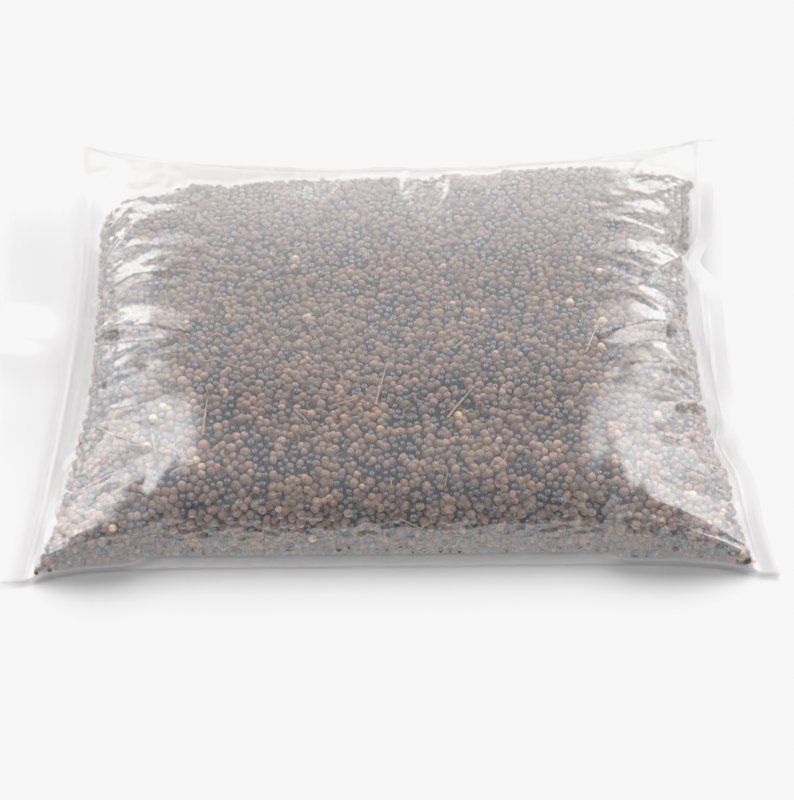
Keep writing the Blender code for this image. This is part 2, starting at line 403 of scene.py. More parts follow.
# %% From points to one mesh of copies
def evaluated_mesh(holder, finish):
    """A smooth new mesh, with one finish, of what an object's modifiers or curve make."""
    bpy.context.view_layer.update()
    graph = bpy.context.evaluated_depsgraph_get()
    mesh = bpy.data.meshes.new_from_object(holder.evaluated_get(graph))
    mesh.materials.clear()
    mesh.materials.append(finish)
    mesh.shade_smooth()
    return mesh


def copy_shape(name, shape, points, turns, sizes, tints, finish):
    """One mesh with a copy of the shape on every point."""
    cloud = bpy.data.meshes.new(name + "_points")
    cloud.from_pydata([tuple(point) for point in points], [], [])
    for label, kind, field, values in (
        ("turn", "FLOAT_VECTOR", "vector", turns),
        ("size", "FLOAT_VECTOR", "vector", sizes),
        ("tint", "FLOAT_COLOR", "color", tints),
    ):
        data = cloud.attributes.new(label, kind, "POINT").data
        data.foreach_set(field, np.ascontiguousarray(values, np.float32).ravel())
    holder = placed(name, cloud)
    setter = holder.modifiers.new("copies", "NODES")
    setter.node_group = copies
    setter[shape_input] = shape
    mesh = evaluated_mesh(holder, finish)
    mesh.name = name
    holder.modifiers.clear()
    holder.data = mesh
    bpy.data.meshes.remove(cloud)
    for leftover in ("turn", "size"):
        if leftover in mesh.attributes:
            mesh.attributes.remove(mesh.attributes[leftover])
    return holder


# %% [markdown]
# ## Finishes of the pepper
#
# Dried husks are matt and warty with oil glands, and no two are alike: most are a greyish brown, some tan
# or olive, a few orange or straw-coloured. Each grain's own colour comes from its tint attribute. Noise in
# Object coordinates mottles it, and a cell pattern at the scale of the glands gives the bump. The seeds are
# nearly black, and mirror the studio's screens as small dots.


# %% Helpers for materials
def new_material(name, roughness=0.5, specular=0.5):
    made = bpy.data.materials.new(name)
    made.use_nodes = True
    shader = made.node_tree.nodes["Principled BSDF"]
    shader.inputs["Roughness"].default_value = roughness
    shader.inputs["Specular IOR Level"].default_value = specular
    return made, made.node_tree, shader


def attribute(tree, name):
    node = tree.nodes.new("ShaderNodeAttribute")
    node.attribute_name = name
    return node.outputs


def map_range(tree, source, start, end, low, high, smooth=False):
    """A change from low to high while the source goes from start to end, straight or smooth."""
    node = add_node(tree, "ShaderNodeMapRange", Value=source)
    node.interpolation_type = "SMOOTHSTEP" if smooth else "LINEAR"
    for name, value in (("From Min", start), ("From Max", end), ("To Min", low), ("To Max", high)):
        node.inputs[name].default_value = value
    return node.outputs[0]


def arithmetic(tree, operation, first, second):
    """The result of an operation on two sockets, or on a socket and a number."""
    node = tree.nodes.new("ShaderNodeMath")
    node.operation = operation
    feed(tree, node.inputs[0], first)
    feed(tree, node.inputs[1], second)
    return node.outputs[0]


# %% Materials of the pepper
MOTTLES_PER_METRE, GLANDS_PER_METRE = 1100.0, 1500.0


def tinted_husk(name, mottle, roughness, bump_height, specular=0.3):
    """A finish coloured by the tint attribute, lighter and darker by the share mottle."""
    made, tree, shader = new_material(name, roughness, specular)
    place = tree.nodes.new("ShaderNodeTexCoord").outputs["Object"]
    noise = add_node(tree, "ShaderNodeTexNoise", Vector=place, Scale=MOTTLES_PER_METRE, Detail=2.0)
    glands = add_node(tree, "ShaderNodeTexVoronoi", Vector=place, Scale=GLANDS_PER_METRE).outputs["Distance"]
    rough = add_node(tree, "ShaderNodeBump", Strength=0.6, Distance=bump_height, Height=glands)
    mix = tree.nodes.new("ShaderNodeVectorMath")
    mix.operation = "SCALE"
    feed(tree, mix.inputs[0], attribute(tree, "tint")["Color"])
    feed(tree, mix.inputs["Scale"], map_range(tree, noise.outputs["Fac"], 0.3, 0.7, 1 - mottle, 1 + mottle))
    feed(tree, shader.inputs["Base Color"], mix.outputs[0])
    feed(tree, shader.inputs["Normal"], rough.outputs["Normal"])
    return made


husk_finish = tinted_husk("dried_husk", 0.38, 0.8, 0.0005)
seed_finish = tinted_husk("shiny_seed", 0.1, 0.16, 0.00002, specular=0.5)
twig_finish = tinted_husk("dry_twig", 0.2, 0.7, 0.0002)
print("finishes of the pepper:", husk_finish.name, seed_finish.name, twig_finish.name)

# %% Colours of the husks: each row's colour goes up to its share of the grains
HUSK_WARMTH = (1.165, 1.12, 1.125)
HUSK_COLOURS = (
    (0.56, (0.172, 0.123, 0.092)),
    (0.74, (0.118, 0.088, 0.072)),
    (0.86, (0.230, 0.158, 0.108)),
    (0.915, (0.168, 0.136, 0.100)),
    (0.950, (0.262, 0.178, 0.120)),
    (0.990, (0.200, 0.118, 0.090)),
    (1.001, (0.450, 0.345, 0.215)),
)


def husk_tints(count, draw):
    """A colour for each grain: its kind, then a little lighter or darker."""
    pick = draw.uniform(0, 1, count)
    colours = np.zeros((count, 4))
    for share, colour in reversed(HUSK_COLOURS):
        colours[pick < share, :3] = colour
    colours[:, :3] *= HUSK_WARMTH
    colours[:, :3] *= draw.normal(1.0, 0.18, (count, 1)).clip(0.6, 1.5) * draw.normal(1, 0.018, (count, 3))
    colours[:, 3] = 1
    return colours


# %% [markdown]
# ## Setting out the grains
#
# Seeds lie loose among the husks and gather in small pockets: a grain is a seed where a smooth random field
# is high. Most of the husks are closed, and make two meshes of a handy size. A few have opened. Towards the
# near crease the grains are painted paler: painted light, standing in for a fill light from the front, since
# the key light behind the bag leaves that side darker. Towards the far one their colours become more alike.


# %% Where seeds gather, and copies of a shape
POCKETS, POCKET_REACH = 260, 0.0042


def pockets(places, draw):
    """A field that is high in a number of random pockets."""
    centres = places[draw.choice(len(places), POCKETS, replace=False)]
    distance = np.linalg.norm(places[:, None] - centres[None], axis=-1).min(1)
    return np.exp(-((distance / POCKET_REACH) ** 2))


def set_out(name, layer, chosen, kind, draw, tint=None, scale=1.0, painted_shade_dim=1.0, upright=False):
    """Copies of a kind at the chosen grains of a layer, turned anyhow or roughly upright.

    With a tint they are seeds, all of that colour, and otherwise husks. A dimming factor below 1 darkens
    them all as painted shade.
    """
    count = int(chosen.sum())
    turns = draw.uniform(0, 2 * np.pi, (count, 3))
    if upright:
        turns[:, :2] = draw.normal(0, 0.5, (count, 2)) + (0.5, 0)
    sizes = layer["sizes"][chosen][:, None] * scale * draw.normal(1, 0.08, (count, 3)).clip(0.82, 1.18)
    tints = np.tile((*tint, 1.0), (count, 1)) if tint else husk_tints(count, draw)
    station = layer["t"][chosen, None]
    alike = BACK_EVENNESS * ramp((station + 0.15) / 0.8)
    # Painted light: grains towards the near crease are made paler, as if a fill light from the front lit
    # them.
    tints[:, :3] *= painted_shade_dim * (1 + FRONT_PAINTED_LIGHT * ramp((-station - 0.25) / 0.6))
    tints[:, :3] += (painted_shade_dim * np.array(BACK_COLOUR) - tints[:, :3]) * alike
    finish = seed_finish if tint else husk_finish
    made = copy_shape(name, shapes[kind], layer["places"][chosen], turns, sizes, tints, finish)
    print(name, count, "copies,", len(made.data.polygons), "faces")
    return made


# %% The kinds of grains in each layer
shapes = {
    "closed": as_object("closed_husk", closed_husk()),
    "split": as_object("split_husk", split_husk()),
    "open": as_object("open_husk", open_husk()),
    "seed": as_object("seed", black_seed()),
    "coarse": as_object("coarse_husk", ball(6, 4)),
}
SEED_SHARE, SCATTERED_SEEDS = 0.27, 1.7
SEED_TINT = (0.024, 0.027, 0.041)
# The last number is painted light: how much paler the grains towards the near crease are painted.
BACK_COLOUR, BACK_EVENNESS, FRONT_PAINTED_LIGHT = (0.180, 0.140, 0.118), 0.55, 0.34
OPEN_SHARE, SPLIT_SHARE = 0.075, 0.20
top = layers["top"]
field = pockets(top["places"], draw) + draw.uniform(0, SCATTERED_SEEDS, len(top["places"]))
kinds = draw.uniform(0, 1, len(top["places"]))
is_seed = field > np.quantile(field, 1 - SEED_SHARE)
is_open = ~is_seed & (kinds < OPEN_SHARE)
is_split = ~is_seed & (kinds >= OPEN_SHARE) & (kinds < SPLIT_SHARE)
is_closed = ~is_seed & (kinds >= SPLIT_SHARE)
print("seeds among the outer grains:", round(float(is_seed.mean()), 3))
half = top["places"][:, 0] < BODY_X
pepper = [
    set_out("husks_mouth_half", top, is_closed & half, "closed", draw),
    set_out("husks_bottom_half", top, is_closed & ~half, "closed", draw),
    set_out("splitting_husks", top, is_split, "split", draw),
    set_out("open_husks", top, is_open, "open", draw, scale=1.10, upright=True),
    set_out("seeds", top, is_seed, "seed", draw, SEED_TINT),
]
low, deep = layers["bottom"], layers["deep"]
seed_below = pockets(low["places"], draw) + draw.uniform(0, 0.62, len(low["places"])) > 0.92
pepper += [
    set_out("husks_underneath", low, ~seed_below, "coarse", draw),
    set_out("seeds_underneath", low, seed_below, "coarse", draw, SEED_TINT, scale=0.8),
    # The layer behind is dimmed to half: painted shade in the gaps between the outer grains.
    set_out("husks_behind", deep, np.full(len(deep["s"]), True), "coarse", draw, painted_shade_dim=0.50),
]
for shape in shapes.values():
    bpy.data.objects.remove(shape)

# %% [markdown]
# ## The dark heart of the fill
#
# Nothing behind the layers of grains is seen, so one closed lump takes the place of the thousands there: a
# cube cut into many faces, moved to its stations between the two sheets, well below the outer grains. Its
# near-black colour is painted shade: the shade deep among the grains, not the colour of the pepper.


# %% Heap
HEAP_CUTS, HEAP_END, HEAP_NEAR, HEAP_SHORT = 35, 0.89, 0.92, 0.03
HEAP_DEPTH = 0.0062


def heap():
    shape = bmesh.new()
    bmesh.ops.create_cube(shape, size=2.0)
    bmesh.ops.subdivide_edges(shape, edges=shape.edges[:], cuts=HEAP_CUTS, use_grid_fill=True)
    places = np.array([vertex.co for vertex in shape.verts])
    s = places[:, 0] * HEAP_END
    t = -HEAP_NEAR + (places[:, 1] + 1) / 2 * (limit(FAR_LIMIT, s) - HEAP_SHORT + HEAP_NEAR)
    corner = np.maximum(np.abs(places[:, 0]), np.abs(places[:, 1]))
    low, high = panel(-1, s, t), panel(1, s, t)
    high = lowered(high, s, t, 0.0)
    sunk = np.minimum(HEAP_DEPTH, (high - low)[:, 2] * 0.42) * (0.8 + 0.2 * corner)
    low[:, 2] += sunk
    high[:, 2] -= sunk
    level = (places[:, 2:] + 1) / 2
    for vertex, place in zip(shape.verts, low * (1 - level) + high * level):
        vertex.co = place
    return shape


# Near black: painted shade of the depths between the grains.
deep_shade_finish, _, deep_shade_shader = new_material("deep_pepper_painted_shade", 0.95)
deep_shade_shader.inputs["Base Color"].default_value = (0.016, 0.014, 0.015, 1)
pepper.append(as_object("pepper_heap", heap(), deep_shade_finish))
print("heap:", len(pepper[-1].data.polygons), "faces")

# %% [markdown]
# ## Twigs
#
# Some thin stalks are always left among the husks, and lie flat against the film. One curve holds them all,
# each as a short spline, thinner towards its end, and is then made a mesh. The longest and palest are placed
# as in the photograph. None lies near the far crease, where the film sags and a stalk would stick out of it.

# %% Stalks under the film, as stations of both ends and a radius
TWIGS = (
    (-0.848, -0.516, -0.628, -0.696, 0.00050),
    (-0.518, -0.644, -0.511, -0.491, 0.00048),
    (-0.045, -0.526, -0.013, -0.339, 0.00040),
    (0.151, -0.586, 0.225, -0.454, 0.00046),
    (0.015, -0.939, 0.076, -0.964, 0.00040),
    (0.076, -0.964, 0.104, -0.946, 0.00040),
    (-0.268, -0.544, -0.225, -0.606, 0.00036),
    (0.548, -0.294, 0.598, -0.136, 0.00042),
    (-0.636, 0.141, -0.533, 0.114, 0.00036),
    (-0.515, -0.301, -0.429, -0.354, 0.00034),
    (-0.298, -0.209, -0.260, -0.151, 0.00034),
)
MORE_TWIGS, TWIGS_END, TWIG_DEPTH = 40, 0.45, 0.0006
TWIG_COLOUR = (0.38, 0.30, 0.21, 1.0)


def twig_path(s, t, s_end, t_end):
    """Points of a stalk that lies under the upper sheet between two pairs of stations."""
    s_line, t_line = np.linspace(s, s_end, 6), np.linspace(t, t_end, 6)
    return panel(1, s_line, t_line) - outward(1, s_line, t_line)[0] * TWIG_DEPTH


def twigs(draw):
    rope = bpy.data.curves.new("twigs_path", "CURVE")
    rope.dimensions = "3D"
    rope.bevel_depth, rope.bevel_resolution, rope.use_fill_caps = 1.0, 1, True
    rows = list(TWIGS)
    for _ in range(MORE_TWIGS):
        s, t = draw.uniform(-0.85, 0.70, 2)
        turn, reach = draw.uniform(0, math.pi), draw.uniform(0.004, 0.012)
        s_end = s + math.cos(turn) * reach / (SEAL_TO_SEAL / 2)
        t_end = t + math.sin(turn) * reach / (BAG_WIDTH / 2)
        radius = draw.uniform(0.00022, 0.00038)
        if t < TWIGS_END:
            rows.append((s, t, s_end, t_end, radius))
    for s, t, s_end, t_end, radius in rows:
        line = rope.splines.new("POLY")
        path = twig_path(s, t, s_end, t_end)
        line.points.add(len(path) - 1)
        for index, (point, place) in enumerate(zip(line.points, path)):
            point.co = (*place, 1)
            point.radius = radius * (1 - 0.09 * index)
    holder = placed("twigs_path", rope)
    mesh = evaluated_mesh(holder, twig_finish)
    bpy.data.objects.remove(holder)
    tint = mesh.attributes.new("tint", "FLOAT_COLOR", "POINT")
    tint.data.foreach_set("color", TWIG_COLOUR * len(mesh.vertices))
    print("twigs:", len(rows))
    return placed("twigs", mesh)


pepper.append(twigs(draw))

# %% [markdown]
# ## The film
#
# In the middle the pepper stretches the film tight, but at the seals a sheet has to gather back to its full
# flat width, so it buckles into creases that run inwards from both ends. Blender's cloth is slow to find such
# small buckles. A grid of points does it in seconds: neighbours are given the distance that they had in the
# flat sheet, a little more than the smooth shape allows, and are moved, over and over, until it is right.


# %% A grid of stations that covers the bag, its lips, flap and skirt
FLAP_STEPS, LENGTH_STEPS, SKIRT_STEPS, WIDTH_STEPS, LIP_STEPS = 14, 148, 4, 136, 2


def eased(steps, share):
    """Stations from -1 to 1, closer together towards both ends."""
    even = np.linspace(-1, 1, steps)
    return (1 - share) * even + share * (1.5 * even - 0.5 * even**3)


def film_grid(level):
    """Stations of the film at 1, 2 or more times the coarsest spacing."""
    flap = np.linspace(-1 - MOUTH_FLAP, -1, FLAP_STEPS * level, endpoint=False)
    skirt = 1 + np.linspace(0, BOTTOM_SKIRT, SKIRT_STEPS * level + 1)[1:]
    lips = 1 + np.linspace(0, 1, LIP_STEPS * level + 1)[1:]
    s = np.concatenate([flap, eased(LENGTH_STEPS * level + 1, 0.4), skirt])
    t = np.concatenate([-lips[::-1], eased(WIDTH_STEPS * level + 1, 0.9), lips])
    return np.meshgrid(s, t, indexing="ij")


def finer(field):
    """The same field on a grid with a new point between each two."""
    for axis in (0, 1):
        field = np.moveaxis(field, axis, 0)
        wide = np.concatenate([field[:1], field, field[-1:]])
        between = (9 * (field[:-1] + field[1:]) - wide[:-3] - wide[3:]) / 16
        double = np.empty((2 * len(field) - 1, *field.shape[1:]))
        double[::2], double[1::2] = field, between
        field = np.moveaxis(double, 0, axis)
    return field


def uneven(shape, columns, rows, draw):
    """Smooth random heights, with so many waves along and across the sheet."""
    coarse = draw.standard_normal((columns, rows))
    along = np.linspace(0, columns - 1, shape[0])
    across = np.linspace(0, rows - 1, shape[1])
    tall = np.stack([np.interp(along, np.arange(columns), line) for line in coarse.T], 1)
    return np.stack([np.interp(across, np.arange(rows), line) for line in tall], 0)


# %% [markdown]
# Film hardly stretches or shears. So each point is paired with its neighbours along and across the grid, and
# more softly with those on both diagonals. `settle` corrects all pairs in turn, smooths sharp bends, pulls
# the film down a little and keeps it within its limits.


# %% Neighbours, and their distances in the flat sheet
def neighbours(smooth, growth_along, growth_across):
    """Slices that pair points along, across and on both diagonals, with resting lengths and stiffness.

    The pairs of one entry share no point, so that they can all be moved at once.
    """
    rows, columns = smooth.shape[:2]
    both = (growth_along + growth_across) / 2
    found = []
    for rise, run, growth, stiffness in (
        (1, 0, growth_along, 1.0),
        (0, 1, growth_across, 1.0),
        (1, 1, both, 0.35),
        (1, -1, both, 0.35),
    ):
        for odd in (0, 1):
            count = ((rows if rise else columns) - odd) // 2
            first = slice(odd, odd + 2 * count - 1, 2)
            second = slice(odd + 1, odd + 2 * count, 2)
            left, right = slice(0, columns - abs(run)), slice(abs(run), columns)
            if not rise:
                here, there = (slice(None), first), (slice(None), second)
            elif run < 0:
                here, there = (first, right), (second, left)
            else:
                here, there = (first, left), (second, right)
            apart = np.linalg.norm(smooth[there] - smooth[here], axis=-1)
            resting = apart * (growth[here] + growth[there]) / 2
            found.append((here, there, resting[..., None], stiffness))
    return found


def settle(place, smooth, normal, pairs, least, most, held, rounds, smoothing, pull):
    """Moves the points until neighbours have their resting distances, within the least and most offset."""
    for _ in range(rounds):
        for here, there, resting, stiffness in pairs:
            apart = place[there] - place[here]
            length = np.sqrt((apart**2).sum(-1, keepdims=True)) + 1e-9
            move = apart * ((length - resting) / length * (stiffness / 2))
            place[here] += move
            place[there] -= move
        offset = place - smooth
        bend = np.zeros_like(offset)
        bend[1:-1] += offset[:-2] + offset[2:] - 2 * offset[1:-1]
        bend[:, 1:-1] += offset[:, :-2] + offset[:, 2:] - 2 * offset[:, 1:-1]
        place += bend * (smoothing / 2) - normal * pull
        out = ((place - smooth) * normal).sum(-1)
        place += normal * (np.clip(out, least, most) - out)[..., None]
        place[held] = smooth[held]


# %% [markdown]
# The grains hold the film up wherever it lies on them. For every point of the film, the nearest few grains
# say how deep it may sink there: to the top of the ball that it is over, or between the balls to a little
# less than the film would sag of itself.


# %% How deep the film may sink between the grains
FILM_CLEARANCE = 0.0002


def resting_depth(smooth, layer, sag):
    """The least offset of each film point from the smooth bag, over the grains of a layer."""
    flat = smooth.reshape(-1, 3)
    near = nearest(flat, layer["places"], 3)
    gap = flat[:, None] - layer["places"][near]
    away = (gap**2).sum(-1)
    grain_depth = layer["depths"][near]
    sizes = layer["sizes"][near]
    sideways = np.clip(away - grain_depth**2, 0, None)
    held_up = (sizes * TOUCHING) ** 2
    top = np.sqrt(np.clip(held_up - sideways, 0, None)) - grain_depth
    top = np.where(sideways < held_up, top, -1.0)
    return np.maximum(top.max(-1), -sag).reshape(smooth.shape[:2]) + FILM_CLEARANCE


# %% [markdown]
# The folds that the eye knows the bag by are given one by one before the film settles. Each is a long tent:
# it rises from its two ends to its middle, has a sharp top, and falls off slowly on one side and steeply on
# the other. The last one of each seal is the long ridge of a near corner.

# %% The larger folds, as x and y of both ends, height, and breadth behind and in front, in millimetres
FOLDS = (
    # At the mouth seal
    (-124, -12, -76, -22, 3.0, 15, 6),
    (-130, 12, -88, 17, 1.6, 9, 5),
    (-128, 22, -106, 54, 1.8, 9, 5),
    (-130, 46, -110, 66, 1.6, 7, 6),
    (-126, -42, -94, -40, 1.5, 10, 4),
    (-122, -62, -88, -58, 1.2, 9, 4),
    (-126, -95, -98, -88, 2.2, 12, 6),
    (-142, -118, -66, -102, 3.0, 36, 8),
    # At the bottom seal
    (145, -12, 104, -27, 3.7, 19, 7),
    (158, 43, 126, 6, 2.0, 5, 7),
    (122, 1, 154, -25, 2.2, 14, 4),
    (146, -38, 116, -41, 2.2, 11, 5),
    (152, -52, 128, -60, 2.4, 12, 5),
    (150, -62, 166, -74, 1.6, 5, 8),
    (148, -70, 122, -76, 1.5, 9, 5),
    (178, -120, 116, -102, 3.2, 38, 8),
    # Dents at the far crease
    (-24, 104, -20, 62, -2.6, 12, 10),
    (36, 106, 30, 46, -3.0, 16, 9),
    (58, 100, 62, 70, -1.6, 9, 9),
)


def folded(s, t):
    """How far the folds lift each point off the smooth bag."""
    x, y = np.moveaxis(rim_surface(s, t), -1, 0)[:2]
    lift = np.zeros_like(x)
    for x_seal, y_seal, x_in, y_in, height, behind, before in FOLDS:
        start, end = np.array([x_seal, y_seal]) / 1000, np.array([x_in, y_in]) / 1000
        length = np.linalg.norm(end - start)
        ahead = (end - start) / length
        side_way = np.array([-ahead[1], ahead[0]]) * (1 if ahead[0] > 0 else -1)
        place = ((x - start[0]) * ahead[0] + (y - start[1]) * ahead[1]) / length
        away = (x - start[0]) * side_way[0] + (y - start[1]) * side_way[1]
        rise = np.sin(np.pi * np.clip(place, 0, 1) ** 0.8).clip(0, 1) ** 0.7
        breadth = np.where(away > 0, behind, before) / 1000 * (0.25 + 0.75 * rise)
        tent = height / 1000 * rise * np.clip(1 - np.abs(away) / breadth, 0, 1)
        lift = np.where(np.abs(tent) > np.abs(lift), tent, lift)
    return lift


# %% [markdown]
# Between the large folds the film is crumpled into flat facets with sharp edges. A crowd of low pyramids,
# long towards the seal and turned a little each way, gives such facets where they cut into each other.


# %% Crumpled film near both ends
CRUMPLES, CRUMPLE_HEIGHT, CRUMPLE_SEED = 130, 0.0014, 7


def crumpled(s, t, draw):
    """How far the pyramids lift each point off the smooth bag, from 0 to 1."""
    x, y = np.moveaxis(rim_surface(s, t), -1, 0)[:2]
    closest = np.full(x.shape, 1.0)
    for index in range(CRUMPLES):
        end = -1 if index % 2 else 1
        peak_s, peak_t = end * draw.uniform(0.58, 0.98), draw.uniform(-0.97, 0.90)
        peak = rim_surface(np.array(peak_s), np.array(peak_t))
        turn = draw.normal(0, 0.35) + end * peak_t * 0.5
        length, breadth = draw.uniform(0.012, 0.026), draw.uniform(0.006, 0.012)
        ahead = (x - peak[0]) * math.cos(turn) + (y - peak[1]) * math.sin(turn)
        aside = (y - peak[1]) * math.cos(turn) - (x - peak[0]) * math.sin(turn)
        closest = np.minimum(closest, np.abs(ahead) / length + np.abs(aside) / breadth)
    return 1 - closest


def lift_of(s, t):
    """Folds and crumples together, fading out at the rim."""
    ends = np.clip((np.abs(s) - 0.52) / 0.3, 0, 1)
    crumples = crumpled(s, t, np.random.default_rng(CRUMPLE_SEED))
    lift = folded(s, t) + CRUMPLE_HEIGHT * ends * crumples
    edge = np.clip((1 - np.abs(s)) / 0.04, 0, 1) * np.clip((1 - np.abs(t)) / 0.03, 0, 1)
    return lift * edge


# %% [markdown]
# A sheet settles twice. On a coarse grid a little unevenness starts the buckles, and many rounds work them
# out. A fine grid takes them over, and now the film also rests on the grains. Most of the spare length is at
# the seals. The lower sheet is hardly seen, so the coarse grid will do for it.

# %% One sheet: its spare length, how far it may rise and sink, and how uneven it starts
END_GATHER, CREASE_GATHER, FAR_GATHER, SLACK = 0.022, 0.010, 0.02, 0.001
FREE_RISE, DEEPEST_SINK, RIM_SINK, RIM_RISE = 0.005, 0.004, 0.0008, 0.0025
UNEVENNESS, FLAP_UNEVENNESS = 0.0006, 0.0013


def draped(side, layer, draw, sag):
    """The stations and places of a settled sheet. Only the upper one rests on a layer of grains."""
    coarse_rounds, fine_rounds = ((300, 70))
    for level in (1, 2) if side > 0 else (1,):
        s, t = film_grid(level)
        bare = panel(side, s, t)
        normal = outward(side, s, t)[0]
        lift = lift_of(s, t) if side > 0 else np.zeros_like(s)
        smooth = bare + normal * lift[..., None]
        inside = np.clip(np.abs(s), 0, 1)
        ends = np.clip((inside - 0.55) / 0.35, 0, 1) ** 1.5 * (np.abs(s) <= 1)
        crease = np.clip((np.abs(t) - 0.7) / 0.3, 0, 1)
        back = np.clip((t - 0.6) / 0.35, 0, 1) * (1 - inside**2)
        growth_across = 1 + END_GATHER * ends + SLACK
        growth_along = 1 + CREASE_GATHER * (crease + ends) + FAR_GATHER * back
        pairs = neighbours(smooth, growth_along, growth_across)
        thick = np.linalg.norm(panel(1, s, t) - panel(-1, s, t), axis=-1)
        at_end = np.clip((inside - 0.8) / 0.2, 0, 1)
        at_crease = np.clip((np.abs(t) - 0.85) / 0.15, 0, 1)
        least = -np.minimum(0.0004 + thick * (0.12 * at_end + 0.10 * at_crease), DEEPEST_SINK)
        most = np.full(s.shape, FREE_RISE)
        outer = (np.abs(s) > 1) | (np.abs(t) > 1)
        least[outer], most[outer] = -RIM_SINK, RIM_RISE
        held = (np.abs(np.abs(s) - 1) < 1e-9) | (np.abs(t) >= 1)
        if level == 1:
            heights = 0.9 * uneven(s.shape, 12, 60, draw) + 0.5 * uneven(s.shape, 30, 40, draw)
            heights += 0.2 * uneven(s.shape, 60, 60, draw)
            share = UNEVENNESS * (0.15 + ends + 0.6 * crease)
            share[np.abs(s) > 1] = FLAP_UNEVENNESS
            place = smooth + normal * (heights * share)[..., None]
            rounds, smoothing, pull = coarse_rounds, 0.06, 1e-5
        else:
            place = smooth + finer(offset)
            over_grains = resting_depth(bare, layer, sag) - lift
            least = np.where(held | outer, least, np.maximum(least, over_grains))
            rounds, smoothing, pull = fine_rounds, 0.25, 1.5e-5
        settle(place, smooth, normal, pairs, least, most, held, rounds, smoothing, pull)
        offset = place - smooth
    return s, t, place


# %% [markdown]
# Film looks milky where the two sheets are welded or lie on each other, in the empty rim beyond the pepper,
# and a little towards the seals and the far crease. One number at every point of a sheet says how milky it
# is, and the finish reads it as an attribute.


# %% How milky the film is, from 0 to 1
def milky(s, t):
    empty = 0.35 * (1 - pepper_edge(s, t))
    beyond_pepper = ramp((t - limit(FAR_LIMIT, s) + 0.10) / 0.08)
    beside_mouth = ramp((-s - 0.80) / 0.15) * ramp((0.86 - t) / 0.14)
    amount = np.maximum(empty, 0.85 * beyond_pepper * (1 - beside_mouth))
    amount = np.maximum(amount, 0.20 * ramp((np.abs(s) - 0.5) / 0.25))
    amount = np.maximum(amount, 0.30 * ramp(t / 0.7))
    flap, skirt, weld, near_lip, far_lip = 0.08, 0.6, 0.70, 0.25, 0.9
    amount = np.where(s < -1, flap, np.where(s > 1, skirt, amount))
    amount = np.maximum(amount, weld * bump(np.abs(s) - 1, 0, 0.008))
    return np.where(np.abs(t) > 1, np.where(t < 0, near_lip, far_lip) * (s > -1), amount)


def film_object(name, s, t, places, finish):
    """A sheet of film through a grid of places, which says at each how milky the film is."""
    rows, columns = places.shape[:2]
    amount = milky(s, t)
    order = []
    shape = bmesh.new()
    bmesh.ops.create_grid(shape, x_segments=rows - 1, y_segments=columns - 1, size=1)
    for vertex in shape.verts:
        row = round((vertex.co.x + 1) / 2 * (rows - 1))
        column = round((vertex.co.y + 1) / 2 * (columns - 1))
        vertex.co = places[row, column]
        order.append(amount[row, column])
    made = as_object(name, shape, finish)
    made.data.attributes.new("milky", "FLOAT", "POINT").data.foreach_set("value", order)
    return made


# %% [markdown]
# ## Finish of the film
#
# Film is clear, so most light goes straight on. A share is mirrored: a tenth where the film is seen straight
# on, because both of its faces mirror, and nearly everything at a grazing angle. Layer Weight gives that
# angle, and unlike Fresnel it gives the same from both sides of a single sheet. The slight roughness is the
# unevenness of cheap film. A few hundredths of diffuse light are its haze. Where the attribute says that the
# film is milky the haze is thicker and greyer, and the mirror duller.


# %% Clear film
FACING_SHARE, GRAZING_SHARE, MIRROR_ROUGHNESS = 0.09, 0.85, 0.20
CLEAR_HAZE, MILKY_HAZE, MILKY_MIRROR = 0.058, 0.42, 0.30
HAZE_COLOUR, MILKY_COLOUR = (0.88, 0.88, 0.93, 1), (0.47, 0.455, 0.44, 1)
FILM_COLOUR = (0.982, 0.976, 0.973, 1)


def clear_film():
    made, tree, shader = new_material("clear_film")
    tree.nodes.remove(shader)
    milk = attribute(tree, "milky")["Fac"]
    tone = tree.nodes.new("ShaderNodeMix")
    tone.data_type = "RGBA"
    for name, value in (("A", HAZE_COLOUR), ("B", MILKY_COLOUR), ("Factor", milk)):
        feed(tree, tone.inputs[name], value)
    angle = add_node(tree, "ShaderNodeLayerWeight", Blend=0.5).outputs["Facing"]
    steep = arithmetic(tree, "MULTIPLY", arithmetic(tree, "POWER", angle, 5.0), GRAZING_SHARE)
    duller = map_range(tree, milk, 0.0, 1.0, 1.0, MILKY_MIRROR)
    share = arithmetic(tree, "MULTIPLY", arithmetic(tree, "ADD", steep, FACING_SHARE), duller)
    cover = map_range(tree, milk, 0.0, 1.0, CLEAR_HAZE, MILKY_HAZE)
    mirror = add_node(tree, "ShaderNodeBsdfGlossy", Roughness=MIRROR_ROUGHNESS)
    haze = add_node(tree, "ShaderNodeBsdfDiffuse", Color=tone.outputs["Result"])
    film = add_node(tree, "ShaderNodeBsdfTransparent", Color=FILM_COLOUR)
    for over, amount in ((mirror, share), (haze, cover)):
        mixed = add_node(tree, "ShaderNodeMixShader", Fac=amount)
        feed(tree, mixed.inputs[1], film.outputs[0])
        feed(tree, mixed.inputs[2], over.outputs[0])
        film = mixed
    feed(tree, tree.nodes["Material Output"].inputs["Surface"], film.outputs[0])
    return made


# %% Both sheets
film_finish = clear_film()
SAG = 0.0014
s, t, upper_places = draped(1, layers["top"], draw, SAG)
upper = film_object("film_upper_sheet", s, t, upper_places, film_finish)
s, t, lower_places = draped(-1, None, draw, 0.0)
lower = film_object("film_lower_sheet", s, t, lower_places, film_finish)
print("film:", len(upper.data.polygons), "and", len(lower.data.polygons), "faces")

# %% [markdown]
# ## Hanging everything on the bag's one body

# %% Rides and replaced solids
for sheet, node in ((upper, "film_upper"), (lower, "film_lower")):
    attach(sheet, "root")
    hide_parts(node)
for piece in pepper:
    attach(piece, "root")
    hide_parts("pepper_fill")
print(len(pepper) + 2, "pieces ride on the bag")

# %% [markdown]
# ## Camera
#
# The camera looks down on the bag at about 51 degrees, from 0.79 m away and a little to the right.

